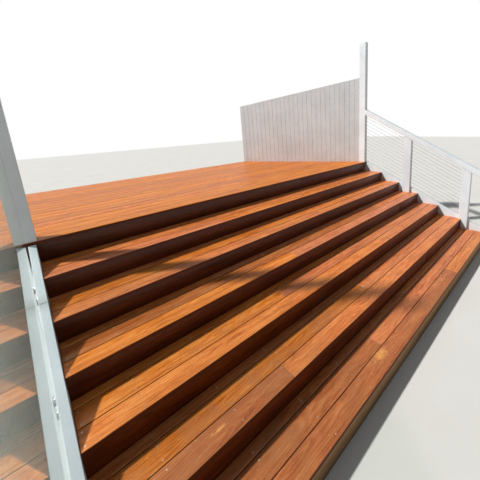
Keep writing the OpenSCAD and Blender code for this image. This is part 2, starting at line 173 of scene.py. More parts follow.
def joined(pieces, name):
    """The pieces as one object, with that name."""
    bpy.ops.object.select_all(action="DESELECT")
    for piece in pieces:
        piece.select_set(True)
    bpy.context.view_layer.objects.active = pieces[0]
    bpy.ops.object.join()
    pieces[0].name = pieces[0].data.name = name
    return pieces[0]


def course(left, right, front, depth, top, joint, colours, end=None):
    """One course of decking, in two lengths where the joint falls within it."""
    reach = right if end is None else min(end(front), end(front + depth))
    if joint > reach:
        return [lay_board(left, right, front, depth, top, *colours(0), end=end)]
    return [
        lay_board(left, joint - BUTT_GAP / 2, front, depth, top, *colours(0)),
        lay_board(joint + BUTT_GAP / 2, right, front, depth, top, *colours(1), end=end),
    ]


def hex_colour(text):
    """A linear colour from an sRGB hex value."""
    parts = [int(text[n : n + 2], 16) / 255 for n in (1, 3, 5)]
    return (*[c / 12.92 if c <= 0.04045 else ((c + 0.055) / 1.055) ** 2.4 for c in parts], 1)


def add_node(tree, kind, inputs=None, ramp=None, **settings):
    """Adds a node. inputs gives each socket a value, or the output that feeds it.

    A MapRange turns its 1 to 2 into 3 to 4. A Mix of colours goes from its 6 to its 7, and its output is 2.
    """
    node = tree.nodes.new("ShaderNode" + kind)
    for name, value in settings.items():
        setattr(node, name, value)
    for socket, value in (inputs or {}).items():
        if isinstance(value, bpy.types.NodeSocket):
            tree.links.new(value, node.inputs[socket])
        else:
            node.inputs[socket].default_value = value
    if ramp:
        while len(node.color_ramp.elements) < len(ramp):
            node.color_ramp.elements.new(0.5)
        for stop, (place, text) in zip(node.color_ramp.elements, ramp):
            stop.position = place
            stop.color = hex_colour(text)
    return node


def new_finish(name):
    """A material with only its output, and its node tree."""
    finish = bpy.data.materials.new(name)
    finish.use_nodes = True
    finish.node_tree.nodes.clear()
    return finish, finish.node_tree


def oiled_merbau(name, dark, middle, light, dry_colour, edge, roughness, gloss, worn_spots=()):
    """Oiled merbau: smooth red-brown timber with soft cloudy figure along the board, and fine dark pores.

    gloss is the weight of the oil film. worn_spots gives the middle and the reach of each bare spot.
    """
    finish, tree = new_finish(name)
    grain = add_node(tree, "Attribute", attribute_name="grain").outputs["Vector"]
    board = add_node(tree, "Attribute", attribute_name="board").outputs
    own = add_node(tree, "SeparateColor", {"Color": board["Color"]}).outputs
    # Growth rings about 14 mm apart, pulled out along the board and bent by a slow wander of the stem
    long_grain = add_node(tree, "Mapping", {"Vector": grain, "Scale": (1.6, 5, 5)}).outputs[0]
    wander = add_node(tree, "TexNoise", {"Vector": long_grain, "Scale": 1, "Detail": 2}).outputs["Color"]
    centred = add_node(tree, "VectorMath", {0: wander, 1: (0.5, 0.5, 0.5)}, operation="SUBTRACT").outputs[0]
    bent = add_node(
        tree, "VectorMath", {0: centred, 1: (0, 0.13, 0.13), 2: grain}, operation="MULTIPLY_ADD"
    ).outputs[0]
    rings = add_node(
        tree, "TexWave",
        {"Vector": bent, "Scale": 22, "Distortion": 2.2, "Detail": 3, "Detail Scale": 1.4,
         "Detail Roughness": 0.6},
        wave_type="RINGS", rings_direction="X", wave_profile="SIN",
    ).outputs["Fac"]
    # Broad bands 20 to 60 mm wide, clouds 15 to 30 mm wide and a hand long, faint streaks 4 to 8 mm wide
    layers = []
    for scale, raggedness in (((2.0, 20, 20), 0.5), ((13, 46, 46), 0.6), ((9, 130, 130), 0.5)):
        layer_place = add_node(tree, "Mapping", {"Vector": grain, "Scale": scale}).outputs[0]
        layer = add_node(
            tree, "TexNoise", {"Vector": layer_place, "Scale": 1, "Detail": 3, "Roughness": raggedness}
        ).outputs["Fac"]
        layers.append(layer)
    bands, clouds, streaks = layers
    # Pores drawn 1.5 mm wide and 18 mm long, three times the real width
    pore_place = add_node(tree, "Mapping", {"Vector": grain, "Scale": (56, 640, 640)}).outputs[0]
    pores = add_node(tree, "TexNoise", {"Vector": pore_place, "Scale": 1, "Detail": 2}).outputs["Fac"]
    pore_dark = add_node(tree, "MapRange", {0: pores, 1: 0.54, 2: 0.72, 3: 0, 4: 0.6}).outputs[0]
    blend = add_node(tree, "Math", {0: rings, 1: 0.10}, operation="MULTIPLY").outputs[0]
    for layer, share in ((streaks, 0.14), (clouds, 0.26), (bands, 0.50)):
        blend = add_node(tree, "Math", {0: layer, 1: share, 2: blend}, operation="MULTIPLY_ADD").outputs[0]
    body = add_node(
        tree, "ValToRGB", {0: blend}, ramp=[(0.35, dark), (0.5, middle), (0.67, light)]
    ).outputs[0]
    shade = add_node(tree, "MapRange", {0: own[0], 3: 0.45, 4: 1.15}).outputs[0]
    hue = add_node(tree, "MapRange", {0: own[1], 3: 0.493, 4: 0.501}).outputs[0]
    depth = add_node(tree, "MapRange", {0: own[1], 3: 0.97, 4: 1.06}).outputs[0]
    toned = add_node(
        tree, "HueSaturation", {"Color": body, "Hue": hue, "Saturation": depth, "Value": shade}
    ).outputs[0]
    pored = add_node(tree, "Mix", {0: pore_dark, 6: toned, 7: hex_colour(dark)}, data_type="RGBA").outputs[2]
    # Foot traffic and rain leave drier, browner patches a hand wide, and pale scuffs of a few millimetres
    place = add_node(tree, "TexCoord").outputs["Object"]
    patches = add_node(
        tree, "TexNoise", {"Vector": place, "Scale": 4, "Detail": 5, "Roughness": 0.7}
    ).outputs["Fac"]
    dry = add_node(tree, "MapRange", {0: patches, 1: 0.42, 2: 0.68, 3: 0, 4: 0.75}).outputs[0]
    dry_here = add_node(tree, "Math", {0: dry, 1: own[2]}, operation="MULTIPLY").outputs[0]
    worn = add_node(
        tree, "Mix", {0: dry_here, 6: pored, 7: hex_colour(dry_colour)}, data_type="RGBA"
    ).outputs[2]
    flecks = add_node(
        tree, "TexNoise", {"Vector": place, "Scale": 75, "Detail": 2, "Roughness": 0.4}
    ).outputs["Fac"]
    fleck = add_node(tree, "MapRange", {0: flecks, 1: 0.70, 2: 0.76, 3: 0, 4: 0.4}).outputs[0]
    fleck_here = add_node(tree, "Math", {0: fleck, 1: own[2]}, operation="MULTIPLY").outputs[0]
    scuffed = add_node(
        tree, "Mix", {0: fleck_here, 6: worn, 7: hex_colour("#E9BE86")}, data_type="RGBA"
    ).outputs[2]
    # Each worn spot has lost its oil in blotches that thin out from its middle
    for centre, reach in worn_spots:
        from_centre = add_node(tree, "VectorMath", {0: place, 1: centre}, operation="SUBTRACT").outputs[0]
        in_reaches = add_node(tree, "VectorMath", {0: from_centre, 1: reach}, operation="DIVIDE").outputs[0]
        distance = add_node(tree, "VectorMath", {0: in_reaches}, operation="LENGTH").outputs["Value"]
        blotches = add_node(
            tree, "TexNoise", {"Vector": place, "Scale": 38, "Detail": 4, "Roughness": 0.65}
        ).outputs["Fac"]
        loss = add_node(
            tree, "Math", {0: distance, 1: -0.5, 2: blotches}, operation="MULTIPLY_ADD"
        ).outputs[0]
        bare = add_node(tree, "MapRange", {0: loss, 1: 0.12, 2: 0.42, 3: 0, 4: 0.8}).outputs[0]
        scuffed = add_node(
            tree, "Mix", {0: bare, 6: scuffed, 7: hex_colour("#F2A95E")}, data_type="RGBA"
        ).outputs[2]
    # Painted shade: the edge colour goes where the board's last channel marks a point, on upright board edges
    # and the lowest riser's foot
    edged = add_node(
        tree, "Mix", {0: board["Alpha"], 6: scuffed, 7: hex_colour(edge)}, data_type="RGBA"
    ).outputs[2]
    sheen = add_node(
        tree, "MapRange", {0: bands, 1: 0.3, 2: 0.7, 3: roughness - 0.05, 4: roughness + 0.07}
    ).outputs[0]
    matt = add_node(tree, "Math", {0: dry_here, 1: 0.2, 2: sheen}, operation="MULTIPLY_ADD").outputs[0]
    relief = add_node(tree, "Math", {0: pore_dark, 1: -0.8, 2: streaks}, operation="MULTIPLY_ADD").outputs[0]
    bump = add_node(tree, "Bump", {"Strength": 0.16, "Distance": 0.0005, "Height": relief}).outputs[0]
    shader = add_node(
        tree, "BsdfPrincipled",
        {"Base Color": edged, "Roughness": matt, "IOR": 1.45, "Specular IOR Level": 0.2, "Coat Weight": gloss,
         "Coat Roughness": 0.2, "Coat IOR": 1.45, "Normal": bump},
    ).outputs[0]
    add_node(tree, "OutputMaterial", {"Surface": shader})
    return finish


tread_finish = oiled_merbau(
    "oiled_merbau_tread", dark="#B05E2B", middle="#DC8348", light="#F0A260", dry_colour="#A86A42",
    edge="#5A2810", roughness=0.4, gloss=0.2,
    worn_spots=[
        ((-0.746, -2.270, 0.170), (0.13, 0.07, 0.05)),
        ((-2.020, -1.908, 0.340), (0.07, 0.016, 0.05)),
    ],
)
deck_finish = oiled_merbau(
    "oiled_merbau_deck", dark="#B45F26", middle="#DA8038", light="#EDA053", dry_colour="#DC975E",
    edge="#5A2810", roughness=0.42, gloss=0.02,
)


def tread_colours(step, n):
    """What gives the tone, warmth and wear of each length in a course of a tread."""

    def colours(length):
        usual = chance.uniform(0.75, 1.0), chance.uniform(0, 1), chance.uniform(0.1, 0.6)
        return OWN_COLOURS.get((step, n), usual) if length == 0 else usual

    return colours


def give_finish(piece, finish):
    """Makes this the only finish of an object."""
    piece.data.materials.clear()
    piece.data.materials.append(finish)


def dress(piece, finish, slot, *nodes):
    """Gives a new piece its finish and its body, and hides the CAD nodes that it stands for."""
    give_finish(piece, finish)
    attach(piece, "root")
    if nodes:
        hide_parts(*nodes)


def joint_x(row):
    """Distance of a row of beams from the treads' left ends."""
    return ROW_FIRST + row * ROW_PITCH


def set_courses(left, right, front, back, top, rows):
    """The place of each course from front to back: its left, right, front, depth, top and joint."""
    places = []
    for n, row in enumerate(rows):
        y = front + n * (BOARD_W + BOARD_GAP)
        places.append((left, right, y, min(BOARD_W, back - y), top, joint_x(row)))
    return places


tread_places = []
for step, rows in enumerate(TREAD_JOINTS, 1):
    low, high = [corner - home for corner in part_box(f"tread_{step}")]
    places = set_courses(0, high.x, low.y, high.y, high.z, rows)
    tread_places += places
    boards = []
    for n, place in enumerate(places):
        boards += course(*place, tread_colours(step, n))
    dress(joined(boards, f"tread_{step}_boards"), tread_finish, "oiled_merbau", f"tread_{step}")

# The deck's right side is cut along the slanted screen, 27.9 degrees off the run of the stairs. The screen's
# boards and rails are 54 mm thick together
SCREEN_TURN = math.radians(27.9)
SCREEN_OUT = 0.054
tall_low, tall_high = [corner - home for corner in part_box("tall_post_right")]
deck_low, deck_high = [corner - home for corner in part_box("deck_boards_front")]
deck_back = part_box("deck_boards_back")[1].y - home.y
slant_x = tall_low.x + SCREEN_OUT / math.cos(SCREEN_TURN)
deck_corner_y = tall_high.y - (deck_high.x - slant_x) / math.tan(SCREEN_TURN)


def deck_end(y):
    """Where the deck's right side is, at a distance behind its front edge."""
    return min(deck_high.x, slant_x - (y - tall_high.y) * math.tan(SCREEN_TURN))


def deck_colours(length):
    """Tone, warmth and wear of a deck board, which is less trodden and better oiled."""
    return chance.uniform(0.6, 1.0), chance.uniform(0.4, 1.0), chance.uniform(0.0, 0.5)


deck_rows = [DECK_JOINTS[n % len(DECK_JOINTS)] for n in range(DECK_COURSES)]
deck_places = set_courses(deck_low.x, deck_high.x, 0, deck_back, deck_high.z, deck_rows)
for n, part in enumerate(("front", "middle", "back")):
    boards = []
    for place in deck_places[n * COURSES_PER_PART : (n + 1) * COURSES_PER_PART]:
        boards += course(*place, deck_colours, end=deck_end)
    dress(joined(boards, f"deck_{part}_boards"), deck_finish, "oiled_merbau", f"deck_boards_{part}")


# Risers and the fascia under the deck edge
# Merbau boards 19 mm thick, screwed upright to the front of the step blocks, in two lengths.
# Oiled with the rest. Their colours are painted dark, to stand for the shade on their faces.
STEPS = 6
RISER_EASE = 0.0015
RISER_JOINTS = [5, 8, 4, 10, 6, 3, 7]
# Painted shade: darker merbau colours stand for the shade that the risers and fascia are in
riser_painted_shade_finish = oiled_merbau(
    "oiled_merbau_riser_painted_shade", dark="#4A1F08", middle="#642B0B", light="#803D15", dry_colour="#6A3A1E",
    edge="#241008", roughness=0.34, gloss=0.3,
)
# The lowest one meets rain and shoes. Its oil is gone, so it is grey-brown. It is painted darker towards its
# foot, as shade
weathered_finish = oiled_merbau(
    "weathered_merbau_riser", dark="#98744E", middle="#B0875C", light="#C29A6E", dry_colour="#9C8468",
    edge="#62492F", roughness=0.6, gloss=0.02,
)


def upright_board(left, right, low, high, tone, darkening):
    """A riser board with eased front edges and its grain along the stairs. The last argument says how much
    painted shade a point gets.
    """
    bpy.ops.object.select_all(action="DESELECT")
    size = Vector((right - left, high.y - low.y, high.z - low.z))
    place = Vector(((left + right) / 2, (low.y + high.y) / 2, (low.z + high.z) / 2))
    bpy.ops.mesh.primitive_cube_add(size=1, location=place, scale=size)
    board = bpy.context.object
    settle(board)
    pick_edges(board, lambda a, b: a.y < place.y and b.y < place.y)
    bpy.ops.mesh.bevel(offset=RISER_EASE, segments=2, affect="EDGES")
    bpy.ops.object.mode_set(mode="OBJECT")
    bpy.ops.object.shade_smooth_by_angle(angle=SMOOTH_UNDER)
    give_grain(board, (1, 0, 0), (0, 0, 1), tone, chance.uniform(0.2, 0.9), 0, darkening)
    return board


upright_nodes = [f"riser_{step}" for step in range(1, STEPS + 1)] + ["deck_fascia"]
for n, (node, row) in enumerate(zip(upright_nodes, RISER_JOINTS)):
    low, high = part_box(node)
    joint = home.x + joint_x(row)
    # Painted light: the lower ones are paler, standing for the light that the ground throws up onto them
    tone = 0.9 - 0.11 * n + chance.uniform(-0.08, 0.08)
    finish, darkening = riser_painted_shade_finish, lambda p: 0
    if n == 0:
        # Painted shade: the lowest riser's colour darkens towards its foot
        finish, darkening = weathered_finish, lambda p: (high.z - p.z) / (high.z - low.z)
    boards = [
        upright_board(low.x, joint - BUTT_GAP / 2, low, high, tone, darkening),
        upright_board(joint + BUTT_GAP / 2, high.x, low, high, tone + 0.1, darkening),
    ]
    dress(joined(boards, node + "_boards"), finish, "oiled_merbau", node)


# Decking screws
# Stainless countersunk screws, 9 mm across the head, two to a board on each beam and on each side of a joint.
# The driver leaves them bright in the middle, with oil and dust round the rim.
SCREW_R = 0.0045
# From a screw to the board's edge, to a butt joint and to the slanted end
SCREW_EDGE = 0.028
SCREW_TO_JOINT = 0.012
SCREW_TO_SLANT = 0.060
# How far a screw strays from its row, and the width of board that takes only one screw
SCREW_STRAY = 0.003
NARROW_BOARD = 0.060
# Rows between the two outermost beams, and the rows on those
INNER_ROWS = 12
LEFT_ROW = 0.0195
RIGHT_ROW = 5.2305


def pick_faces(piece, wanted):
    """Opens the piece in edit mode with those faces selected that pass the test."""
    bpy.context.view_layer.objects.active = piece
    bpy.ops.object.mode_set(mode="EDIT")
    bpy.ops.mesh.select_mode(type="FACE")
    bpy.ops.mesh.select_all(action="DESELECT")
    shape = bmesh.from_edit_mesh(piece.data)
    for face in shape.faces:
        face.select_set(wanted(face))
    bmesh.update_edit_mesh(piece.data)


# The head stands 0.4 mm out of the board at its rim, with the driver's recess in its middle
bpy.ops.object.select_all(action="DESELECT")
bpy.ops.mesh.primitive_cylinder_add(vertices=12, radius=SCREW_R, depth=0.0006, location=(0, 0, 0.0001))
master_screw = bpy.context.object
settle(master_screw)
pick_faces(master_screw, lambda face: face.normal.z > 0.9)
bpy.ops.mesh.inset(thickness=0.0006)
bpy.ops.transform.translate(value=(0, 0, 0.0002))
bpy.ops.mesh.inset(thickness=0.0021)
bpy.ops.mesh.inset(thickness=0.0003)
bpy.ops.transform.translate(value=(0, 0, -0.0008))
bpy.ops.object.mode_set(mode="OBJECT")


def set_out(master, places, name):
    """A copy of the master at each place, a point or a matrix, joined to one piece."""
    copies = []
    for place in places:
        copy = bpy.data.objects.new(name, master.data.copy())
        copy.data.transform(place if isinstance(place, Matrix) else Matrix.Translation(place))
        bpy.context.collection.objects.link(copy)
        copies.append(copy)
    return joined(copies, name)


def bright_steel(name, dull, colour, roughness):
    """Stainless steel: grey and clean, with a fine turned or drawn grain that spreads the highlight."""
    finish, tree = new_finish(name)
    place = add_node(tree, "TexCoord").outputs["Object"]
    # Grain of about 1 mm, four times the real one
    fine = add_node(tree, "TexNoise", {"Vector": place, "Scale": 900, "Detail": 2}).outputs["Fac"]
    film = add_node(tree, "TexNoise", {"Vector": place, "Scale": 25, "Detail": 3}).outputs["Fac"]
    rough = add_node(
        tree, "MapRange", {0: film, 1: 0.3, 2: 0.7, 3: roughness - 0.08, 4: roughness + 0.12}
    ).outputs[0]
    tint = add_node(tree, "ValToRGB", {0: film}, ramp=[(0.3, dull), (0.7, colour)]).outputs[0]
    bump = add_node(tree, "Bump", {"Strength": 0.15, "Distance": 0.0002, "Height": fine}).outputs[0]
    shader = add_node(
        tree, "BsdfPrincipled", {"Base Color": tint, "Metallic": 1, "Roughness": rough, "Normal": bump}
    ).outputs[0]
    add_node(tree, "OutputMaterial", {"Surface": shader})
    return finish


screw_finish = bright_steel("stainless_screw_head", "#8A8375", "#BDB6A6", 0.45)
beam_rows = [LEFT_ROW, *[joint_x(row) for row in range(INNER_ROWS)], RIGHT_ROW]


def course_screws(left, right, front, depth, top, joint, end=None):
    """Screw places of one course: two across the board on each row, doubled on the row of its joint."""
    places = []
    across = (SCREW_EDGE, depth - SCREW_EDGE) if depth > NARROW_BOARD else (depth / 2,)
    for x in beam_rows:
        spots = (x - SCREW_TO_JOINT, x + SCREW_TO_JOINT) if abs(x - joint) < BUTT_GAP / 2 else (x,)
        for spot in spots:
            for y in across:
                stray_x = chance.uniform(-SCREW_STRAY, SCREW_STRAY)
                stray_y = chance.uniform(-SCREW_STRAY, SCREW_STRAY)
                reach = right if end is None else end(front + y) - SCREW_TO_SLANT
                if spot < reach:
                    places.append(home + Vector((spot + stray_x, front + y + stray_y, top)))
    return places


screws = []
for place in tread_places:
    screws += course_screws(*place)
dress(set_out(master_screw, screws, "tread_screws"), screw_finish, "steel_fixings")
screws = []
for place in deck_places:
    screws += course_screws(*place, end=deck_end)
dress(set_out(master_screw, screws, "deck_screws"), screw_finish, "steel_fixings")
bpy.data.objects.remove(master_screw)
bpy.data.objects.remove(master_board)


# Side boards
# Closed pine stringers 290 x 50 mm, cut level on the ground and painted. The left one is two lengths that
# butt 0.6 m out from the deck's front edge.
RISE = 0.170
GOING = 0.385
SLOPE = RISE / GOING
PITCH = math.atan(SLOPE)
LEFT_BUTT_Y = -0.600
SANDED_EASE = 0.003


def white_paint(name, turn, soil, joint_y=None):
    """Exterior acrylic brushed on in two coats: off-white and satin, with brush lines turned along the board.

    A little dust sits in the lines, with grey scuffs, as strong as soil says. Damp has stained it grey at a
    butt joint.
    """
    finish, tree = new_finish(name)
    place = add_node(tree, "TexCoord").outputs["Object"]
    axes = add_node(tree, "SeparateXYZ", {0: place}).outputs
    # Brush lines 1 to 4 mm apart and 70 to 290 mm long
    along = add_node(
        tree, "Mapping", {"Vector": place, "Rotation": turn, "Scale": (260, 3.5, 260)}
    ).outputs[0]
    lines = add_node(tree, "TexNoise", {"Vector": along, "Scale": 1, "Detail": 3}).outputs["Fac"]
    broad = add_node(
        tree, "TexNoise", {"Vector": place, "Scale": 2.2, "Detail": 5, "Roughness": 0.6}
    ).outputs["Fac"]
    specks = add_node(
        tree, "TexNoise", {"Vector": place, "Scale": 130, "Detail": 3, "Roughness": 0.7}
    ).outputs["Fac"]
    coat = add_node(tree, "ValToRGB", {0: broad}, ramp=[(0.35, "#DEE7ED"), (0.65, "#ECF5FB")]).outputs[0]
    speck = add_node(tree, "MapRange", {0: specks, 1: 0.66, 2: 0.74, 3: 0, 4: soil}).outputs[0]
    dusty = add_node(tree, "MapRange", {0: lines, 1: 0.5, 2: 0.75, 3: 0, 4: 0.25 * soil}).outputs[0]
    soiling = add_node(tree, "Math", {0: speck, 1: dusty}, operation="MAXIMUM").outputs[0]
    # Rain splashes grit onto the lowest 300 mm
    low = add_node(tree, "MapRange", {0: axes["Z"], 1: 0, 2: 0.3, 3: 0.55, 4: 0}).outputs[0]
    splashed = add_node(tree, "Math", {0: broad, 1: low}, operation="MULTIPLY").outputs[0]
    soiling = add_node(tree, "Math", {0: soiling, 1: splashed}, operation="MAXIMUM").outputs[0]
    if joint_y is not None:
        off = add_node(tree, "Math", {0: axes["Y"], 1: joint_y}, operation="SUBTRACT").outputs[0]
        off = add_node(tree, "Math", {0: off}, operation="ABSOLUTE").outputs[0]
        near = add_node(tree, "MapRange", {0: off, 1: 0.002, 2: 0.09, 3: 0.9, 4: 0}).outputs[0]
        darkening = add_node(tree, "Math", {0: near, 1: broad}, operation="MULTIPLY").outputs[0]
        soiling = add_node(tree, "Math", {0: soiling, 1: darkening}, operation="MAXIMUM").outputs[0]
    colour = add_node(
        tree, "Mix", {0: soiling, 6: coat, 7: hex_colour("#8E9085")}, data_type="RGBA"
    ).outputs[2]
    rough = add_node(tree, "MapRange", {0: broad, 1: 0.3, 2: 0.7, 3: 0.38, 4: 0.52}).outputs[0]
    bump = add_node(tree, "Bump", {"Strength": 0.3, "Distance": 0.0004, "Height": lines}).outputs[0]
    shader = add_node(
        tree, "BsdfPrincipled", {"Base Color": colour, "Roughness": rough, "IOR": 1.46, "Normal": bump}
    ).outputs[0]
    add_node(tree, "OutputMaterial", {"Surface": shader})
    return finish


def eased_copy(node, name, ease, cut=None):
    """A closed copy of a CAD node's shape with its sharp edges eased, as sanding leaves them.

    cut is a point and a direction: what lies ahead of the plane there is kept.
    """
    bpy.ops.object.select_all(action="DESELECT")
    piece = bpy.data.objects.new(name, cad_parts[node].data.copy())
    bpy.context.collection.objects.link(piece)
    bpy.context.view_layer.objects.active = piece
    piece.select_set(True)
    bpy.ops.mesh.customdata_custom_splitnormals_clear()
    bpy.ops.object.mode_set(mode="EDIT")
    bpy.ops.mesh.select_all(action="SELECT")
    bpy.ops.mesh.remove_doubles(threshold=0.00001)
    bpy.ops.mesh.dissolve_limited(angle_limit=math.radians(0.5))
    if cut:
        bpy.ops.mesh.bisect(plane_co=cut[0], plane_no=cut[1], use_fill=True, clear_inner=True)
    bpy.ops.object.mode_set(mode="OBJECT")
    bpy.ops.object.shade_smooth()
    arris = piece.modifiers.new("arris", "BEVEL")
    arris.width = ease
    arris.segments = 2
    arris.limit_method = "ANGLE"
    arris.angle_limit = math.radians(30)
    arris.harden_normals = True
    bpy.ops.object.modifier_apply(modifier="arris")
    return piece


def paint_piece(node, ease, paint):
    """Puts a painted copy in the place of a CAD node."""
    dress(eased_copy(node, node + "_painted", ease), paint, "white_timber", node)


sloping_paint = white_paint("white_paint_sloping_board", (-PITCH, 0, 0), 0.5)
paint_piece("right_side_board", SANDED_EASE, sloping_paint)
jointed_paint = white_paint("white_paint_jointed_board", (-PITCH, 0, 0), 0.6, home.y + LEFT_BUTT_Y)
halves = []
for side in (1, -1):
    joint = (0, home.y + LEFT_BUTT_Y + side * BUTT_GAP / 2, 0)
    half = eased_copy("left_side_board", "left_side_board_painted", SANDED_EASE, (joint, (0, side, 0)))
    halves.append(half)
dress(joined(halves, "left_side_board_painted"), jointed_paint, "white_timber", "left_side_board")


# Posts
# Dressed pine 140 x 90 mm, painted. The tall ones stand on the deck, the other two on treads, notched over
# the side board and let in under the handrail.
upright_paint = white_paint("white_paint_upright_post", (math.pi / 2, 0, 0), 0.3)
for node in ("tall_post_left", "tall_post_right", "middle_post", "lower_post"):
    paint_piece(node, SANDED_EASE, upright_paint)


# Handrail
# Dressed pine 110 x 90 mm with rounded edges on the tops of the two lower posts, painted.
ROUNDED_EASE = 0.006
paint_piece("handrail", ROUNDED_EASE, sloping_paint)


# Wires
# Stranded stainless wire rope, 4 mm, tensioned from the lower post through the middle one to the tall one.
# Each wire has a swaged stud, a nut and a washer at both ends. It is dull grey, with painted shade between
# its strands.
wire_finish, tree = new_finish("stranded_stainless_wire")
place = add_node(tree, "TexCoord").outputs["Object"]
# The lay of the strands: one turn in 12 mm, twice the real one
lay = add_node(tree, "Mapping", {"Vector": place, "Rotation": (0, 0, math.radians(35))}).outputs[0]
strands = add_node(
    tree, "TexWave", {"Vector": lay, "Scale": 26, "Distortion": 0.4}, wave_type="BANDS", bands_direction="Y"
).outputs["Fac"]
# Painted shade: the grooves between the strands are coloured darker
steel_and_groove_shade = add_node(tree, "ValToRGB", {0: strands}, ramp=[(0.15, "#5E6061"), (0.6, "#9A9C9D")]).outputs[0]
bump = add_node(tree, "Bump", {"Strength": 0.6, "Distance": 0.0005, "Height": strands}).outputs[0]
shader = add_node(
    tree, "BsdfPrincipled", {"Base Color": steel_and_groove_shade, "Metallic": 1, "Roughness": 0.38, "Normal": bump}
).outputs[0]
add_node(tree, "OutputMaterial", {"Surface": shader})
for node in ("wires_upper", "wires_lower"):
    give_finish(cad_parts[node], wire_finish)


def upright_bar(sides, radius, length, middle, ease, segments, eased_over=-1):
    """An upright round or hexagonal bar with eased rims. eased_over leaves out the rims below that height."""
    bpy.ops.object.select_all(action="DESELECT")
    bpy.ops.mesh.primitive_cylinder_add(vertices=sides, radius=radius, depth=length, location=(0, 0, middle))
    bar = bpy.context.object
    settle(bar)
    pick_edges(bar, lambda a, b: abs(a.z - b.z) < 1e-5 and a.z > eased_over)
    bpy.ops.mesh.bevel(offset=ease, segments=segments, affect="EDGES")
    bpy.ops.object.mode_set(mode="OBJECT")
    return bar


# A 7 mm stud, a nut 13 mm across its corners and an 18 mm washer. The rim at the stud's free end is eased
STUD_L = 0.055
stud = upright_bar(16, 0.0035, STUD_L, STUD_L / 2, ease=0.0012, segments=2, eased_over=STUD_L * 0.9)
nut = upright_bar(6, 0.0065, 0.006, 0.005, ease=0.0008, segments=1)
washer = upright_bar(20, 0.009, 0.0015, 0.0009, ease=0.0004, segments=1)
bush = bpy.data.objects.new("bush", washer.data.copy())
terminal = joined([stud, nut, washer], "wire_terminal")
bpy.ops.object.shade_smooth_by_angle(angle=SMOOTH_UNDER)

WIRES = 13
wire_x = (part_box("wires_upper")[0].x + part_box("wires_upper")[1].x) / 2
# The tops of the middle and the lower post, on which the handrail lies, from the deck's front edge
RAIL_HIGH = Vector((0, -0.926, 1.743))
RAIL_LOW = Vector((0, -1.951, 1.218))
RAIL_SLOPE = (RAIL_HIGH.z - RAIL_LOW.z) / (RAIL_HIGH.y - RAIL_LOW.y)
# The lowest wire over the line of the nosings, and the highest under the handrail
LOWEST_WIRE_UP = 0.070
HIGHEST_WIRE_DOWN = 0.058


def nosing_height(y):
    """Height of the line through the nosings, at a distance behind the deck's front edge."""
    return (STEPS + 1) * RISE + y * SLOPE


def wire_points(face_y):
    """Where the wires cross an upright plane, and the slope of each. They fan out from side board to rail."""
    y = face_y - home.y
    low_z = nosing_height(y) + LOWEST_WIRE_UP
    high_z = RAIL_HIGH.z + (y - RAIL_HIGH.y) * RAIL_SLOPE - HIGHEST_WIRE_DOWN
    points = []
    for n in range(WIRES):
        share = n / (WIRES - 1)
        height = low_z * (1 - share) + high_z * share
        points.append((Vector((wire_x, face_y, height)), SLOPE + (RAIL_SLOPE - SLOPE) * share))
    return points


upper_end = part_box("tall_post_right")[0].y
lower_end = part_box("lower_post")[1].y
ends = []
for face_y, turn in ((upper_end, math.pi / 2), (lower_end, -math.pi / 2)):
    for point, slope in wire_points(face_y):
        ends.append(Matrix.Translation(point) @ Matrix.Rotation(turn + math.atan(slope), 4, "X"))
terminal_finish = bright_steel("swaged_stainless_terminal", "#B4B3AE", "#CFCFCB", 0.3)
dress(set_out(terminal, ends, "wire_terminals"), terminal_finish, "steel_fixings")

# A flanged bush lines each hole through the middle post
holes = []
for corner, turn in zip(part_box("middle_post"), (math.pi / 2, -math.pi / 2)):
    for point, slope in wire_points(corner.y):
        holes.append(Matrix.Translation(point) @ Matrix.Rotation(turn, 4, "X"))
dress(set_out(bush, holes, "wire_bushes"), terminal_finish, "steel_fixings")
bpy.data.objects.remove(terminal)
bpy.data.objects.remove(bush)


# Glass side panel
# One sheet of 12 mm toughened glass with ground edges, parallel to the flight. It is clear with a green
# cast that shows at the edges, and rain has left dust on it in upright streaks.
glass_finish, tree = new_finish("clear_toughened_glass")
place = add_node(tree, "TexCoord").outputs["Object"]
# Streaks 8 mm wide and 30 mm long, and a faint cloudiness a hand wide
upright = add_node(tree, "Mapping", {"Vector": place, "Scale": (120, 120, 32)}).outputs[0]
streaks = add_node(
    tree, "TexNoise", {"Vector": upright, "Scale": 1, "Detail": 3, "Roughness": 0.6}
).outputs["Fac"]
clouded = add_node(
    tree, "TexNoise", {"Vector": place, "Scale": 5, "Detail": 3, "Roughness": 0.5}
).outputs["Fac"]
soiled = add_node(tree, "Math", {0: clouded, 1: 0.12, 2: streaks}, operation="MULTIPLY_ADD").outputs[0]
rough = add_node(tree, "MapRange", {0: soiled, 1: 0.62, 2: 0.82, 3: 0.0, 4: 0.1}).outputs[0]
tint = add_node(tree, "ValToRGB", {0: soiled}, ramp=[(0.60, "#E6F0EA"), (0.80, "#BDC0AC")]).outputs[0]
sheet = add_node(
    tree, "BsdfPrincipled", {"Base Color": tint, "Transmission Weight": 1, "Roughness": rough, "IOR": 1.52}
).outputs[0]
# Light that falls on other pieces goes straight through the sheet, which leaves only a faint shadow there
passing = add_node(tree, "BsdfTransparent", {"Color": (0.95, 0.97, 0.96, 1)}).outputs[0]
ray = add_node(tree, "LightPath").outputs
falling = add_node(
    tree, "Math", {0: ray["Is Shadow Ray"], 1: ray["Is Diffuse Ray"]}, operation="MAXIMUM"
).outputs[0]
shader = add_node(tree, "MixShader", {0: falling, 1: sheet, 2: passing}).outputs[0]
cast = add_node(tree, "VolumeAbsorption", {"Color": hex_colour("#8FD0B4"), "Density": 1.2}).outputs[0]
add_node(tree, "OutputMaterial", {"Surface": shader, "Volume": cast})
GROUND_EASE = 0.0012
glass_sheet = eased_copy("glass_panel", "glass_sheet", GROUND_EASE)
dress(glass_sheet, glass_finish, "clear_glass", "glass_panel")


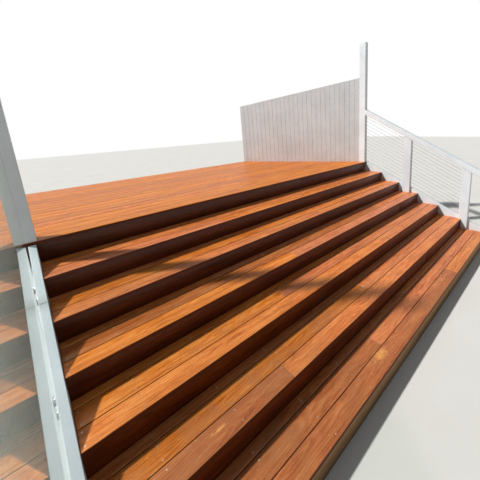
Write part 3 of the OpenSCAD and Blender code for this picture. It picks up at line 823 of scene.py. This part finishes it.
# Glass fixings
# Stainless standoffs in three pairs. Each is two discs with the glass between them, on a shank that is
# screwed to the side board. The outer disc is the cap, with a key recess.
PAIRS = 3
PAIR_FIRST_Y = -0.390
PAIR_PITCH = 0.800
# Depths of a pair below the side board's top edge, and that edge over the line of the nosings
PAIR_DROPS = (0.070, 0.165)
LEFT_BOARD_UP = 0.005
DISC_R = 0.025
SHANK_R = 0.006
CAP_EASE = 0.0015
KEY_RECESS_R = 0.0065
KEY_RECESS_DEEP = 0.004
cap_low, cap_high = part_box("glass_fixings")
glass_low, glass_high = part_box("glass_panel")


def turned_disc(x0, x1, radius, edge):
    """A turned disc between two planes across X, with its rims eased."""
    bpy.ops.object.select_all(action="DESELECT")
    bpy.ops.mesh.primitive_cylinder_add(
        vertices=48, radius=radius, depth=x1 - x0,
        location=((x0 + x1) / 2, 0, 0), rotation=(0, math.pi / 2, 0),
    )
    disc = bpy.context.object
    settle(disc)
    pick_edges(disc, lambda a, b: abs(a.x - b.x) < 1e-5)
    bpy.ops.mesh.bevel(offset=edge, segments=3, affect="EDGES")
    bpy.ops.object.mode_set(mode="OBJECT")
    return disc


cap = turned_disc(cap_low.x, glass_low.x, DISC_R, CAP_EASE)
pick_faces(cap, lambda face: face.normal.x < -0.99 and len(face.verts) > 8)
bpy.ops.mesh.inset(thickness=DISC_R - CAP_EASE - KEY_RECESS_R)
bpy.ops.mesh.inset(thickness=0.0006)
bpy.ops.transform.translate(value=(KEY_RECESS_DEEP, 0, 0))
bpy.ops.object.mode_set(mode="OBJECT")
shank = turned_disc((cap_low.x + glass_low.x) / 2, (glass_high.x + cap_high.x) / 2, SHANK_R, 0.0005)
back_disc = turned_disc(glass_high.x, cap_high.x, DISC_R, 0.001)
fixing = joined([cap, shank, back_disc], "glass_fixing")
bpy.ops.object.shade_smooth_by_angle(angle=SMOOTH_UNDER)
places = []
for n in range(PAIRS):
    y = PAIR_FIRST_Y - n * PAIR_PITCH
    for drop in PAIR_DROPS:
        places.append(Vector((0, home.y + y, nosing_height(y) + LEFT_BOARD_UP - drop)))
cap_finish = bright_steel("brushed_stainless_cap", "#B4B3AE", "#CFD0CE", 0.32)
dress(set_out(fixing, places, "glass_standoffs"), cap_finish, "steel_fixings", "glass_fixings")
bpy.data.objects.remove(fixing)


# Slanted screen
# Upright grooved pine boards on four rails and three posts, painted. It stands on the deck behind the right
# tall post, and its own posts run down to the ground.
GROOVE_EASE = 0.0012
SAWN_EASE = 0.002
level_paint = white_paint("white_paint_level_board", (0, 0, SCREEN_TURN), 0.3)
paint_piece("screen_boards", GROOVE_EASE, upright_paint)
paint_piece("screen_rails", SAWN_EASE, level_paint)
for node in ("screen_post_front", "screen_post_middle", "screen_post_back"):
    paint_piece(node, SANDED_EASE, upright_paint)


# Framing
# Treated pine, rough sawn: sloping beams with triangular step blocks, joists, bearers and stumps.
# Pale with a green-grey cast, brown knots and saw marks across the grain.
def sawn_pine(name, turn):
    """Treated pine with its growth rings, knots and saw marks turned along the piece."""
    finish, tree = new_finish(name)
    place = add_node(tree, "TexCoord").outputs["Object"]
    along = add_node(tree, "Mapping", {"Vector": place, "Rotation": turn, "Scale": (6, 0.25, 6)}).outputs[0]
    rings = add_node(
        tree, "TexWave", {"Vector": along, "Scale": 2.6, "Distortion": 5, "Detail": 3, "Detail Scale": 1.2},
        wave_type="RINGS", rings_direction="Y",
    ).outputs["Fac"]
    knot_place = add_node(
        tree, "Mapping", {"Vector": place, "Rotation": turn, "Scale": (5, 1.6, 5)}
    ).outputs[0]
    knots = add_node(tree, "TexVoronoi", {"Vector": knot_place, "Scale": 1}).outputs["Distance"]
    knot = add_node(tree, "MapRange", {0: knots, 1: 0.05, 2: 0.11, 3: 0.8, 4: 0}).outputs[0]
    stain = add_node(tree, "TexNoise", {"Vector": place, "Scale": 1.7, "Detail": 5}).outputs["Fac"]
    wood = add_node(tree, "ValToRGB", {0: rings}, ramp=[(0.2, "#C6B78C"), (0.8, "#AC9C6F")]).outputs[0]
    green = add_node(tree, "MapRange", {0: stain, 1: 0.4, 2: 0.7, 3: 0, 4: 0.5}).outputs[0]
    cast = add_node(tree, "Mix", {0: green, 6: wood, 7: hex_colour("#8E9169")}, data_type="RGBA").outputs[2]
    colour = add_node(tree, "Mix", {0: knot, 6: cast, 7: hex_colour("#5E4326")}, data_type="RGBA").outputs[2]
    # Saw marks 4 mm apart across the grain
    saw_place = add_node(tree, "Mapping", {"Vector": place, "Rotation": turn}).outputs[0]
    saw = add_node(
        tree, "TexWave", {"Vector": saw_place, "Scale": 78, "Distortion": 1.5}, bands_direction="Y"
    ).outputs["Fac"]
    bump = add_node(tree, "Bump", {"Strength": 0.35, "Distance": 0.0006, "Height": saw}).outputs[0]
    shader = add_node(
        tree, "BsdfPrincipled", {"Base Color": colour, "Roughness": 0.82, "IOR": 1.45, "Normal": bump}
    ).outputs[0]
    add_node(tree, "OutputMaterial", {"Surface": shader})
    return finish


pine_sloping = sawn_pine("sawn_pine_sloping_beam", (-PITCH, 0, 0))
pine_joist = sawn_pine("sawn_pine_joist", (0, 0, 0))
pine_bearer = sawn_pine("sawn_pine_bearer", (0, 0, math.pi / 2))
pine_stump = sawn_pine("sawn_pine_stump", (math.pi / 2, 0, 0))
give_finish(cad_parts["carriages"], pine_sloping)
for step in range(1, STEPS + 1):
    give_finish(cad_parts[f"step_blocks_{step}"], pine_joist)
seen_framing = {
    "deck_frame": pine_joist, "stumps": pine_stump,
    "bearer_front": pine_bearer, "bearer_middle": pine_bearer, "bearer_back": pine_bearer,
}
for node, finish in seen_framing.items():
    dress(eased_copy(node, node + "_sawn", SAWN_EASE), finish, "framing_pine", node)


# Studio
# A pale matt floor, a key light high behind the left side, a soft light from all round and a white surround.
bpy.ops.object.select_all(action="DESELECT")
bpy.ops.mesh.primitive_plane_add(size=60, location=(0, 0, -0.0005))
floor = bpy.context.object
floor.name = "studio_floor"
settle(floor)
floor_finish, tree = new_finish("pale_matt_floor")
place = add_node(tree, "TexCoord").outputs["Object"]
mottle = add_node(tree, "TexNoise", {"Vector": place, "Scale": 1.5, "Detail": 4}).outputs["Fac"]
pale = add_node(tree, "ValToRGB", {0: mottle}, ramp=[(0.3, "#E0DED9"), (0.7, "#E6E4E0")]).outputs[0]
shader = add_node(tree, "BsdfPrincipled", {"Base Color": pale, "Roughness": 0.9}).outputs[0]
add_node(tree, "OutputMaterial", {"Surface": shader})
give_finish(floor, floor_finish)

surround = bpy.data.worlds.new("white_surround")
bpy.context.scene.world = surround
surround.use_nodes = True
tree = surround.node_tree
tree.nodes.clear()
ray = add_node(tree, "LightPath").outputs
seen = add_node(
    tree, "Math", {0: ray["Is Camera Ray"], 1: ray["Is Glossy Ray"]}, operation="MAXIMUM"
).outputs[0]
seen = add_node(tree, "Math", {0: seen, 1: ray["Is Transmission Ray"]}, operation="MAXIMUM").outputs[0]
# The white is only looked at: it lights nothing by way of the glass
direct = add_node(tree, "Math", {0: ray["Diffuse Depth"], 1: 0.5}, operation="LESS_THAN").outputs[0]
seen = add_node(tree, "Math", {0: seen, 1: direct}, operation="MULTIPLY").outputs[0]
soft_light = add_node(tree, "Background", {"Color": (0.85, 0.94, 1, 1), "Strength": 0.18}).outputs[0]
white = add_node(tree, "Background", {"Color": (1, 1, 1, 1), "Strength": 1}).outputs[0]
both = add_node(tree, "MixShader", {0: seen, 1: soft_light, 2: white}).outputs[0]
add_node(tree, "OutputWorld", {"Surface": both})

key = bpy.data.objects.new("key_light", bpy.data.lights.new("key_light", "SUN"))
key.data.energy = 3.7
key.data.angle = math.radians(3)
key.data.color = (1, 0.98, 0.95)
# Its light through the glass is what the sheet passes to shadow rays, and doesn't count twice
key.visible_transmission = False
key.rotation_euler = Vector((-0.56, 0.45, 0.70)).to_track_quat("Z", "Y").to_euler()
bpy.context.collection.objects.link(key)

# The camera stands at the photograph's place and angle
camera = bpy.data.objects.new("camera", bpy.data.cameras.new("camera"))
camera.data.sensor_width = 36
camera.data.lens = 20.238
camera.data.shift_x = -0.1246
camera.data.shift_y = -0.1231
camera.matrix_world = Matrix(
    (
        (0.70036, 0.17726, -0.69143, -2.533),
        (-0.71265, 0.11896, -0.69136, -3.184),
        (-0.04029, 0.97695, 0.20964, 2.102),
        (0, 0, 0, 1),
    )
)
bpy.context.collection.objects.link(camera)
bpy.context.scene.camera = camera
bpy.context.scene.view_settings.view_transform = "Standard"
